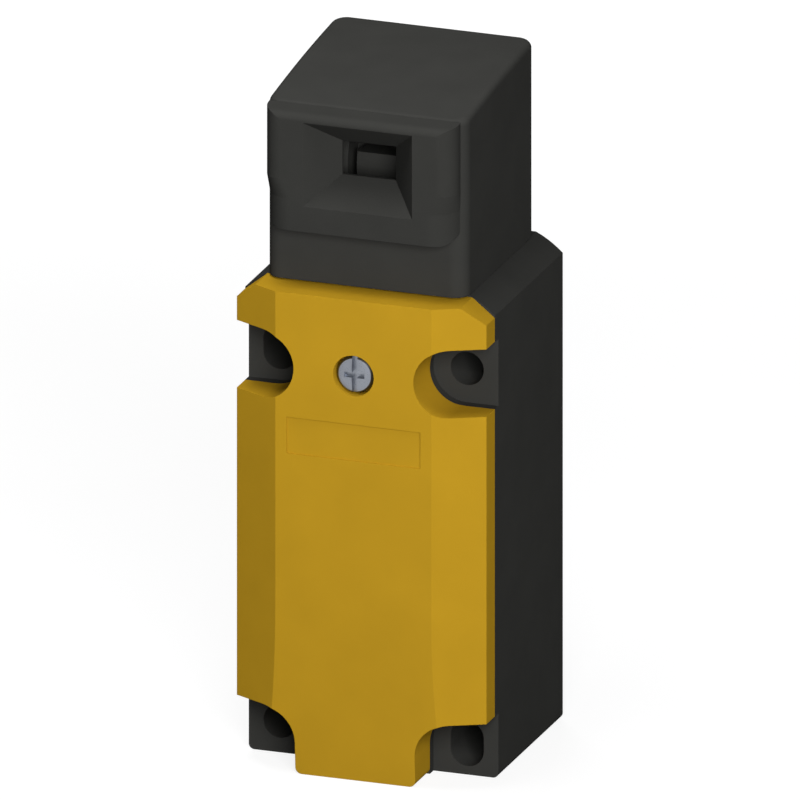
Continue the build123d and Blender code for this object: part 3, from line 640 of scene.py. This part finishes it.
@dataclass(frozen=True)
class KnurledInsert:
    """Turned brass insert with a diamond knurl, pressed into the enclosure for the cover screw."""

    node: str = "cover_insert"
    body: str = "enclosure"
    ridges: int = 30
    depth: float = 0.16 * MM
    chamfer: float = 0.3 * MM
    pitch: float = 0.7 * MM
    thread_share: float = 0.3
    core: float = 2.08 * MM
    points_per_ridge: int = 8
    outer_rings: int = 50
    bore_rings: int = 70

    def build(self, material: bpy.types.Material) -> bpy.types.Object:
        """Makes the insert in place of its node.

        The outer wall is r(a, y) = R - d max(|w(n a / 2 pi + y / p)|, |w(n a / 2 pi - y / p)|),
        where w runs from -1 to 1 like a saw and p = 2 pi R / n is the way from ridge to ridge.
        The bore is r = core + t |w(y / pitch - a / 2 pi)|, where t is the thread's depth.

        Args:
            material: The insert's finish.

        Returns:
            The insert.
        """
        low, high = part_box(self.node)
        centre = (low + high) / 2
        radius = (high.x - low.x) / 2
        length = high.y - low.y
        angle = np.linspace(0, 2 * np.pi, self.ridges * self.points_per_ridge, endpoint=False)[None, :]
        outer_y = np.linspace(self.chamfer, length - self.chamfer, self.outer_rings)[:, None]
        share = self.ridges * angle / (2 * np.pi)
        slope = outer_y * self.ridges / (2 * np.pi * radius)
        saw = [np.abs(2 * np.mod(share + sign * slope, 1) - 1) for sign in (-1, 1)]
        outer = radius - self.depth * np.maximum(*saw)
        bore_y = np.linspace(length - self.chamfer, self.chamfer, self.bore_rings)[:, None]
        ridge = np.abs(2 * np.mod(bore_y / self.pitch - angle / (2 * np.pi), 1) - 1)
        bore = self.core + self.thread_share * self.pitch * ridge
        flat = np.ones_like(angle)
        widest = radius - self.chamfer
        mouth = self.core + self.chamfer
        radii = np.vstack([widest * flat, outer, widest * flat, mouth * flat, bore, mouth * flat])
        levels = np.vstack([0 * flat, outer_y * flat, length * flat, length * flat, bore_y * flat, 0 * flat])
        axis = Axis((centre.x, low.y, centre.z), (0.0, 1.0, 0.0))
        points = axis.place(radii * np.cos(angle), radii * np.sin(angle), levels)
        faces = grid_faces(radii.shape[0], radii.shape[1], wrap=True)
        piece = add_piece("knurled_insert", points.reshape(-1, 3), faces, material, smooth_angle=30.0)
        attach(piece, self.body)
        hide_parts(self.node)
        return piece


@dataclass(frozen=True)
class RollingDiaphragm:
    """Rubber diaphragm with one rolled fold between the neck and the plunger."""

    node: str = "plunger_diaphragm"
    body: str = "enclosure"
    stem: float = 2.6 * MM
    skin: float = 0.7 * MM
    fold: float = 0.8 * MM
    bead_share: float = 0.12
    rings: int = 60
    sides: int = 96

    def build(self, material: bpy.types.Material) -> bpy.types.Object:
        """Makes the diaphragm in place of its node.

        The skin's middle lies at z(r) = z0 + f (1 - cos 2 pi s) / 2, with s running from 0 at
        the plunger to 1 at the rim. It is half a skin thick to each side, and thicker in a
        bead at both edges.

        Args:
            material: The rubber.

        Returns:
            The diaphragm.
        """
        low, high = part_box(self.node)
        centre = (low + high) / 2
        rim = (high.x - low.x) / 2
        share = np.linspace(0, 1, self.rings)
        radius = self.stem + (rim - self.stem) * share
        middle = low.z + (high.z - low.z) / 2 + self.fold * (1 - np.cos(2 * np.pi * share)) / 2
        edge = np.minimum(share, 1 - share) / self.bead_share
        bead = (high.z - low.z - self.skin) / 2 * np.sqrt(np.clip(1 - edge, 0, 1))
        half = self.skin / 2 + bead
        profile_r = np.concatenate([radius, radius[::-1]])
        profile_z = np.concatenate([middle + half, (middle - half)[::-1]])
        angle = np.linspace(0, 2 * np.pi, self.sides, endpoint=False)
        points = np.stack([
            centre.x + profile_r[:, None] * np.cos(angle),
            centre.y + profile_r[:, None] * np.sin(angle),
            profile_z[:, None] * np.ones_like(angle),
        ], axis=-1)
        faces = grid_faces(len(profile_r), len(angle), wrap=True)
        piece = add_piece("rolling_diaphragm", points.reshape(-1, 3), faces, material, smooth_angle=40.0)
        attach(piece, self.body)
        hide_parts(self.node)
        return piece


@dataclass
class Enclosure:
    """Black enclosure with its cover's fixing, its earth terminal and its seals."""

    materials: dict[str, bpy.types.Material]
    cover_head: float = 2.4 * MM
    cover_shank: float = 2.0 * MM
    earth_head: float = 1.6 * MM
    earth_shank: float = 1.46 * MM
    nodes: tuple[str, ...] = ("enclosure_body", "cover", "cover_screw", "cover_insert", "cover_gasket",
                              "retaining_ring", "retaining_ring_screws", "earth_plate", "earth_screw")

    def cover_screw(self) -> Screw:
        """Describes the cover's screw, as long as its node.

        Returns:
            The screw.
        """
        low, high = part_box("cover_screw")
        centre = (low + high) / 2
        return Screw("cover_screw_turned", "cover_screw", "lid_screw",
                     Axis((centre.x, low.y, centre.z), FORWARD),
                     (high.x - low.x) / 2, self.cover_head, self.cover_shank,
                     high.y - low.y - self.cover_head)

    def earth_screw(self) -> Screw:
        """Describes the earth terminal's screw, as long as its node.

        Returns:
            The screw.
        """
        low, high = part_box("earth_screw")
        centre = (low + high) / 2
        return Screw("earth_screw_turned", "earth_screw", "enclosure",
                     Axis((centre.x, low.y, centre.z), FORWARD),
                     (high.x - low.x) / 2, self.earth_head, self.earth_shank,
                     high.y - low.y - self.earth_head, slot=0.6 * MM, slot_depth=0.8 * MM,
                     drive=Drive.SLOT, pitch=0.5 * MM, chamfer=0.2 * MM, dome=0.15 * MM)

    def build(self) -> list[bpy.types.Object]:
        """Dresses the nodes and makes the turned pieces.

        Returns:
            The new pieces.
        """
        dress(self.nodes, self.materials)
        steel = self.materials["screw_steel"]
        return [self.cover_screw().build(steel), self.earth_screw().build(steel),
                KnurledInsert().build(self.materials["brass"])]


@dataclass
class OperatingHead:
    """Turnable head with the key's funnel, the switching drum and the plunger."""

    materials: dict[str, bpy.types.Material]
    nodes: tuple[str, ...] = ("head_housing", "entry_bezel", "head_base_plate", "head_base_screws",
                              "head_seal", "drum_cradle", "drum_axle", "switching_drum", "plunger",
                              "plunger_spring", "plunger_diaphragm")

    def build(self) -> list[bpy.types.Object]:
        """Dresses the nodes and makes the spring and the diaphragm.

        Returns:
            The new pieces.
        """
        dress(self.nodes, self.materials)
        spring = CoilSpring("plunger_spring", "head", "push_pin", wire_radius=0.4 * MM)
        return [spring.build(self.materials["spring_steel"]),
                RollingDiaphragm().build(self.materials["seal"])]


@dataclass
class ContactBlock:
    """Contact block with its push rod, three bridges and six terminals."""

    materials: dict[str, bpy.types.Material]
    head: float = 2.2 * MM
    shank: float = 1.72 * MM
    levels: tuple[str, ...] = ("lower", "middle", "upper")
    repeated: tuple[str, ...] = ("bridge", "spring", "fixed_contacts", "terminal_washers",
                                 "terminal_screws")
    single: tuple[str, ...] = ("contact_base", "contact_front", "contact_base_screws", "slider",
                               "slider_return_spring")

    def terminal_screw(self, level: str, side: int) -> Screw:
        """Describes one terminal screw.

        Args:
            level: Name of the contact's level.
            side: -1 for the left row, 1 for the right row.

        Returns:
            The screw.
        """
        node = f"terminal_screws_{level}"
        low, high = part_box(node)
        head_radius = (high.z - low.z) / 2
        x = high.x - head_radius if side > 0 else low.x + head_radius
        row = "right" if side > 0 else "left"
        return Screw(f"terminal_screw_{level}_{row}", node, "enclosure",
                     Axis((x, low.y, (low.z + high.z) / 2), FORWARD),
                     head_radius, self.head, self.shank, high.y - low.y - self.head, pitch=0.6 * MM)

    def springs(self) -> list[CoilSpring]:
        """Lists the push rod's spring and the three contact springs.

        Returns:
            The springs, from the largest on.
        """
        large = CoilSpring("slider_return_spring", "enclosure", "push_rod", wire_radius=0.34 * MM)
        small = [CoilSpring(f"spring_{level}", "push_rod", f"contact_bridge_{level}",
                            wire_radius=0.24 * MM, turns=2.4, dead_turns=0.5,
                            hangs=level == "middle") for level in self.levels]
        return [large, *small]

    def build(self) -> list[bpy.types.Object]:
        """Dresses the nodes and makes the springs and the terminal screws.

        Returns:
            The new pieces.
        """
        names = [f"{kind}_{level}" for kind in self.repeated for level in self.levels]
        dress((*self.single, *names), self.materials)
        made = [spring.build(self.materials["spring_steel"]) for spring in self.springs()]
        screws = [self.terminal_screw(level, side) for level in self.levels for side in (-1, 1)]
        return made + [screw.build(self.materials["screw_steel"]) for screw in screws]


def dress(names: tuple[str, ...], materials: dict[str, bpy.types.Material]) -> None:
    """Gives CAD nodes the finish of their slots.

    Args:
        names: The nodes.
        materials: The material of each slot.
    """
    slots = {entry["node"]: entry["material_slot"] for entry in frame["record"]["subparts"]}
    for name in names:
        node = frame["nodes"][name]
        if not node.material_slots:
            node.data.materials.append(materials[slots[name]])
        for place in node.material_slots:
            place.material = materials[slots[name]]
        LOG.info("%s dressed as %s", name, slots[name])


def seen_directly(tree: bpy.types.NodeTree) -> bpy.types.NodeSocket:
    """Tells rays from the camera, from reflections and through glass from light that bounces.

    Args:
        tree: Node tree to add the nodes to.

    Returns:
        1 for a camera, glossy or transmission ray, 0 for any other.
    """
    path = tree.nodes.new("ShaderNodeLightPath")
    either = tree.nodes.new("ShaderNodeMath")
    either.operation = "MAXIMUM"
    tree.links.new(path.outputs["Is Camera Ray"], either.inputs[0])
    tree.links.new(path.outputs["Is Glossy Ray"], either.inputs[1])
    through = tree.nodes.new("ShaderNodeMath")
    through.operation = "MAXIMUM"
    tree.links.new(either.outputs["Value"], through.inputs[0])
    tree.links.new(path.outputs["Is Transmission Ray"], through.inputs[1])
    return through.outputs["Value"]


@dataclass
class Studio:
    """Pale floor, soft lamps and the camera at the photograph's angle."""

    azimuth: float = math.radians(19.65)
    elevation: float = math.radians(19.46)
    view_width: float = 0.12073
    target: Vector = field(default_factory=lambda: Vector((-0.00009, -0.0168, 0.01913)))
    distance: float = 0.8
    ambient: float = 0.05
    ambient_colour: tuple[float, float, float, float] = (0.9, 0.95, 1.0, 1.0)
    floor_glow: float = 0.84
    floor_grey: tuple[float, float] = (0.24, 0.25)
    floor_patch: float = 40 * MM
    floor_half: float = 3.0
    far_clip: float = 10.0

    def direction(self) -> Vector:
        """Gives the way that the camera lies in.

        Returns:
            The unit vector from the target towards the camera.
        """
        level = math.cos(self.elevation)
        return Vector((math.sin(self.azimuth) * level, -math.cos(self.azimuth) * level,
                       math.sin(self.elevation)))

    def camera(self) -> None:
        """Places a camera with parallel projection, as the photograph has."""
        data = bpy.data.cameras.new("camera")
        data.type = "ORTHO"
        data.ortho_scale = self.view_width
        data.clip_end = self.far_clip
        camera = bpy.data.objects.new("camera", data)
        camera.location = self.target + self.direction() * self.distance
        camera.rotation_euler = (-self.direction()).to_track_quat("-Z", "Y").to_euler()
        bpy.context.scene.collection.objects.link(camera)
        bpy.context.scene.camera = camera

    def lamp(self, name: str, towards: tuple[float, float, float], power: float, size: float,
             reach: float = 0.6) -> None:
        """Hangs one square soft lamp.

        Args:
            name: The lamp's name.
            towards: Direction from the object to the lamp.
            power: Watts.
            size: Side of the lamp in metres.
            reach: Distance from the object in metres.
        """
        data = bpy.data.lights.new(name, "AREA")
        data.energy = power
        data.size = size
        lamp = bpy.data.objects.new(name, data)
        away = Vector(towards).normalized()
        lamp.location = self.target + away * reach
        lamp.rotation_euler = (-away).to_track_quat("-Z", "Y").to_euler()
        bpy.context.scene.collection.objects.link(lamp)

    def world(self) -> None:
        """Lights evenly and dimly from all sides, and shows white to the camera and in reflections."""
        world = bpy.data.worlds.new("studio_world")
        bpy.context.scene.world = world
        world.use_nodes = True
        tree = world.node_tree
        tree.nodes.clear()
        output = tree.nodes.new("ShaderNodeOutputWorld")
        seen = tree.nodes.new("ShaderNodeBackground")
        seen.inputs["Color"].default_value = WHITE
        lit = tree.nodes.new("ShaderNodeBackground")
        lit.inputs["Color"].default_value = self.ambient_colour
        lit.inputs["Strength"].default_value = self.ambient
        mix = tree.nodes.new("ShaderNodeMixShader")
        tree.links.new(seen_directly(tree), mix.inputs["Fac"])
        tree.links.new(lit.outputs["Background"], mix.inputs[1])
        tree.links.new(seen.outputs["Background"], mix.inputs[2])
        tree.links.new(mix.outputs["Shader"], output.inputs["Surface"])

    def floor(self) -> None:
        """Lays a pale floor under the switch that stays near white and keeps its shadow."""
        low = CAD_BOX[0].z
        side = self.floor_half
        points = np.array([[-side, -side, low], [side, -side, low], [side, side, low], [-side, side, low]])
        sheet = ShaderSheet("studio_floor")
        tint = sheet.spread(sheet.noise(self.floor_patch), 0.0, 1.0)
        dark, pale = ((grey, grey, grey, 1.0) for grey in self.floor_grey)
        colour = sheet.blend(tint, dark, pale)
        sheet.tree.links.new(colour, sheet.shader.inputs["Base Color"])
        sheet.shader.inputs["Roughness"].default_value = 0.9
        sheet.shader.inputs["Specular IOR Level"].default_value = 0.0
        sheet.shader.inputs["Emission Color"].default_value = WHITE
        glow = sheet.tree.nodes.new("ShaderNodeMath")
        glow.operation = "MULTIPLY"
        glow.inputs[1].default_value = self.floor_glow
        sheet.tree.links.new(seen_directly(sheet.tree), glow.inputs[0])
        sheet.tree.links.new(glow.outputs["Value"], sheet.shader.inputs["Emission Strength"])
        floor = add_piece("studio_floor", points, np.array([[0, 1, 2, 3]]), sheet.material)

    def build(self) -> None:
        """Sets up the whole studio."""
        self.camera()
        self.world()
        self.floor()
        self.lamp("key_lamp", (0.53, -1.0, 0.42), power=3.75, size=0.3)
        self.lamp("top_lamp", (-0.1, -0.2, 1.0), power=0.2, size=0.08, reach=0.2)
        self.lamp("back_lamp", (-0.45, 0.87, 0.12), power=2.7, size=0.3)
        bpy.context.scene.view_settings.view_transform = "Standard"


def main() -> None:
    """Builds the switch's looks in order and reports each piece."""
    logging.basicConfig(level=logging.INFO, format="%(message)s")
    materials = finishes()
    for assembly in (Enclosure(materials), OperatingHead(materials), ContactBlock(materials)):
        for piece in assembly.build():
            LOG.info("%s made with %d faces", piece.name, len(piece.data.polygons))
    Studio().build()


if __name__ == "__main__":
    main()
